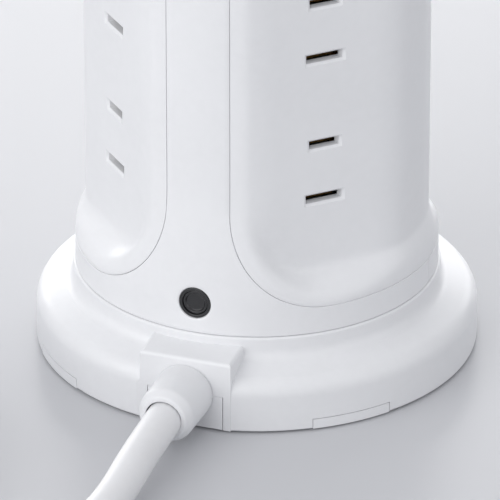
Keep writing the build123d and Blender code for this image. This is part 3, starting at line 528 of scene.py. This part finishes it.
def procedural(
    name,
    colour,
    roughness,
    mottle=0.03,
    grain_mm=0.6,
    grain_height=0.02,
    wear_and_painted_shade=0.06,
    metallic=0.0,
    coat=0.0,
    streak=None,
    dust=0.03,
    subsurface=0.0,
):
    """A surface with colour variation, grain, uneven gloss, rubbed edges and painted shade in its hollows.
    """
    material = bpy.data.materials.new(name)
    material.use_nodes = True
    tree = material.node_tree
    new = tree.nodes.new
    shader = tree.nodes["Principled BSDF"]
    shader.inputs["Metallic"].default_value = metallic
    shader.inputs["Coat Weight"].default_value = coat
    shader.inputs["Coat Roughness"].default_value = 0.12
    if subsurface:
        shader.inputs["Subsurface Weight"].default_value = subsurface
        shader.inputs["Subsurface Radius"].default_value = (1.0, 0.95, 0.9)
        shader.inputs["Subsurface Scale"].default_value = 0.0012
    place = new("ShaderNodeTexCoord").outputs["Object"]
    if streak:
        stretch = new("ShaderNodeMapping")
        stretch.inputs["Scale"].default_value = streak
        link(tree, place, stretch.inputs["Vector"])
        fine_place = stretch.outputs["Vector"]
    else:
        fine_place = place

    def noise(scale_mm, detail, where):
        node = new("ShaderNodeTexNoise")
        node.inputs["Scale"].default_value = 1000.0 / scale_mm
        node.inputs["Detail"].default_value = detail
        node.inputs["Roughness"].default_value = 0.6
        link(tree, where, node.inputs["Vector"])
        return node.outputs["Fac"]

    def mapped(value, low, high, out_low, out_high):
        node = new("ShaderNodeMapRange")
        limits = {"From Min": low, "From Max": high, "To Min": out_low, "To Max": out_high}
        for socket, number in limits.items():
            node.inputs[socket].default_value = number
        link(tree, value, node.inputs["Value"])
        return node.outputs["Result"]

    def mixed(factor, a, b):
        node = new("ShaderNodeMix")
        node.data_type = "RGBA"
        link(tree, factor, node.inputs["Factor"])
        for socket, value in ((node.inputs[6], a), (node.inputs[7], b)):
            if isinstance(value, tuple):
                socket.default_value = (*value, 1)
            else:
                link(tree, value, socket)
        return node.outputs[2]

    dim = tuple(c * (1 - mottle) for c in colour)
    clouds = mapped(noise(28, 4, place), 0.3, 0.7, 0, 1)
    tone = mixed(clouds, dim, colour)
    specks = mapped(noise(2.2, 3, fine_place), 0.35, 0.75, 0, 0.5)
    tone = mixed(specks, tone, tuple(min(1, c * (1 + mottle * 0.6)) for c in colour))
    # rubbed edges are a little paler
    bend = new("ShaderNodeNewGeometry").outputs["Pointiness"]
    edges = mapped(bend, 0.52, 0.62, 0, wear_and_painted_shade)
    tone = mixed(edges, tone, tuple(min(1, c * 1.15 + 0.04) for c in colour))
    # painted shade: hollows and inner corners are darkened towards 0.6 of the colour, as strongly as the
    # rubbed edges are paled
    painted_hollow_shade = mapped(bend, 0.47, 0.40, 0, wear_and_painted_shade)
    tone = mixed(painted_hollow_shade, tone, tuple(c * 0.6 for c in colour))
    # a trace of dust on what looks up
    facing = new("ShaderNodeSeparateXYZ")
    link(tree, new("ShaderNodeNewGeometry").outputs["Normal"], facing.inputs["Vector"])
    settled = new("ShaderNodeMath")
    settled.operation = "MULTIPLY"
    link(tree, mapped(facing.outputs["Z"], 0.6, 1.0, 0, dust), settled.inputs[0])
    link(tree, mapped(noise(5, 5, place), 0.4, 0.7, 0, 1), settled.inputs[1])
    tone = mixed(settled.outputs["Value"], tone, DUST_COLOUR)
    link(tree, tone, shader.inputs["Base Color"])
    gloss = mapped(noise(14, 5, place), 0.3, 0.7, roughness * 0.86, min(1, roughness * 1.16))
    link(tree, gloss, shader.inputs["Roughness"])
    grain = new("ShaderNodeBump")
    grain.inputs["Strength"].default_value = 0.6
    grain.inputs["Distance"].default_value = grain_height * MM
    link(tree, noise(grain_mm, 4, fine_place), grain.inputs["Height"])
    waves = new("ShaderNodeBump")
    waves.inputs["Strength"].default_value = 0.35
    waves.inputs["Distance"].default_value = 0.03 * MM
    link(tree, noise(9, 2, place), waves.inputs["Height"])
    link(tree, grain.outputs["Normal"], waves.inputs["Normal"])
    link(tree, waves.outputs["Normal"], shader.inputs["Normal"])
    return material


MATERIALS = {
    "white_base": procedural("moulded_base", (0.83, 0.835, 0.85), 0.40, wear_and_painted_shade=0.0, coat=0.08),
    "white_shell": procedural("moulded_shell", (0.84, 0.845, 0.86), 0.44, wear_and_painted_shade=0.0, coat=0.05),
    "white_cord_fitting": procedural("soft_pvc", (0.82, 0.825, 0.84), 0.42, subsurface=0.1),
    "white_cord": procedural("cord_sheath", (0.84, 0.84, 0.85), 0.40, mottle=0.04, subsurface=0.15),
    "tie": procedural("strap", (0.70, 0.70, 0.71), 0.8, grain_mm=0.9, grain_height=0.25),
    "feet": procedural("foot_rubber", (0.045, 0.045, 0.048), 0.75, mottle=0.2, dust=0.2),
    "screw_steel": procedural("zinc_steel", (0.55, 0.55, 0.56), 0.34, metallic=1.0, mottle=0.12, wear_and_painted_shade=0.3),
    "blade_metal": procedural(
        "plated_blade", (0.66, 0.64, 0.58), 0.24, metallic=1.0, mottle=0.08, wear_and_painted_shade=0.3, streak=(1, 1, 0.1)
    ),
    "black_plastic": procedural(
        "black_plastic", (0.010, 0.010, 0.012), 0.20, mottle=0.2, wear_and_painted_shade=0.12, dust=0.04, coat=0.5
    ),
    "rocker": procedural("rocker_plastic", (0.72, 0.725, 0.74), 0.30, coat=0.2),
    "terminal_brass": procedural(
        "terminal_brass", (0.70, 0.50, 0.22), 0.30, metallic=1.0, mottle=0.15, wear_and_painted_shade=0.3
    ),
    "contact_brass": procedural(
        "contact_brass", (0.72, 0.50, 0.24), 0.28, metallic=1.0, mottle=0.15, wear_and_painted_shade=0.3, streak=(1, 1, 0.15)
    ),
    "inner_plastic": procedural("inner_plastic", (0.30, 0.30, 0.30), 0.55, mottle=0.08),
    "wire_white": procedural("wire_white", (0.72, 0.72, 0.72), 0.45),
    "wire_black": procedural("wire_black", (0.02, 0.02, 0.022), 0.45, mottle=0.2),
}


def paint(obj, slot_name):
    """Give a piece the material of a record slot."""
    obj.data.materials.clear()
    obj.data.materials.append(MATERIALS[slot_name])


for part in frame["record"]["subparts"]:
    paint(nodes[part["node"]], part["material_slot"])
for shell in shells.values():
    paint(shell, "white_shell")
paint(mains_cord, "white_cord")
paint(relief, "white_cord_fitting")


# ---- floor, backdrop and light ----
FLOOR_HALF_WIDTH = 6.0
FLOOR_NEAR = 4.0
FLOOR_FAR = 3.0
SWEEP_R = 1.5
BACKDROP_TOP = 5.0


def floor_material():
    """Pale polished floor with faint clouding."""
    material = bpy.data.materials.new("studio_floor")
    material.use_nodes = True
    tree = material.node_tree
    shader = tree.nodes["Principled BSDF"]
    place = tree.nodes.new("ShaderNodeTexCoord").outputs["Object"]
    noise = tree.nodes.new("ShaderNodeTexNoise")
    noise.inputs["Scale"].default_value = 6.0
    link(tree, place, noise.inputs["Vector"])
    tone = tree.nodes.new("ShaderNodeMix")
    tone.data_type = "RGBA"
    tone.inputs[6].default_value = (0.590, 0.595, 0.615, 1)
    tone.inputs[7].default_value = (0.610, 0.615, 0.635, 1)
    link(tree, noise.outputs["Fac"], tone.inputs["Factor"])
    link(tree, tone.outputs[2], shader.inputs["Base Color"])
    shader.inputs["Roughness"].default_value = 0.30
    shader.inputs["Specular IOR Level"].default_value = 0.45
    return material


def backdrop():
    """Floor that sweeps up far behind the object."""
    work = bmesh.new()
    profile = [(-FLOOR_NEAR, 0.0), (FLOOR_FAR, 0.0)]
    for degree in range(6, 91, 6):
        bend = radians(degree)
        profile.append((FLOOR_FAR + SWEEP_R * sin(bend), SWEEP_R - SWEEP_R * cos(bend)))
    profile.append((FLOOR_FAR + SWEEP_R, BACKDROP_TOP))
    side = Vector((-AWAY.y, AWAY.x, 0))
    rows = []
    for distance, height in profile:
        middle = AWAY * distance + Vector((0, 0, height))
        rows.append([work.verts.new(middle + side * s * FLOOR_HALF_WIDTH) for s in (-1, 1)])
    for (a, b), (c, d) in zip(rows, rows[1:]):
        work.faces.new((a, b, d, c))
    bmesh.ops.recalc_face_normals(work, faces=work.faces)
    mesh = bpy.data.meshes.new("studio_floor")
    work.to_mesh(mesh)
    work.free()
    mesh.shade_smooth()
    floor = bpy.data.objects.new("studio_floor", mesh)
    mesh.materials.append(floor_material())
    bpy.context.scene.collection.objects.link(floor)


backdrop()


def area_light(name, spot, aim, size, power):
    """A soft light at spot, facing aim."""
    data = bpy.data.lights.new(name, "AREA")
    data.shape = "RECTANGLE"
    data.size, data.size_y = size
    data.energy = power
    light = bpy.data.objects.new(name, data)
    light.location = spot
    light.rotation_euler = (Vector(aim) - Vector(spot)).to_track_quat("-Z", "Y").to_euler()
    bpy.context.scene.collection.objects.link(light)


CENTRE = Vector((0, 0, 0.05))
KEY_TURN = radians(199)  # direction the key light comes from, round +Z
KEY_RISE = radians(27)
KEY_FAR = 1.7
PANEL_FAR = 2.2
PANEL_Z = 0.58
key_from = Vector((cos(KEY_TURN) * cos(KEY_RISE), sin(KEY_TURN) * cos(KEY_RISE), sin(KEY_RISE)))
area_light("key", CENTRE + key_from * KEY_FAR, CENTRE, size=(2.2, 1.6), power=19)
# a wide weak fill from the right keeps the shaded side open
area_light("fill", Vector((1.5, -1.3, 0.9)), CENTRE, size=(1.8, 1.4), power=5)
# a bright panel behind, low enough to lie in the floor's reflection behind the object
area_light("panel", AWAY * PANEL_FAR + Vector((0, 0, PANEL_Z)), CENTRE, size=(3.4, 1.0), power=45)
world = bpy.data.worlds.new("studio")
world.use_nodes = True
world.node_tree.nodes["Background"].inputs["Color"].default_value = (0.95, 0.96, 1.0, 1)
world.node_tree.nodes["Background"].inputs["Strength"].default_value = 0.60
bpy.context.scene.world = world
bpy.context.scene.view_settings.view_transform = "Standard"
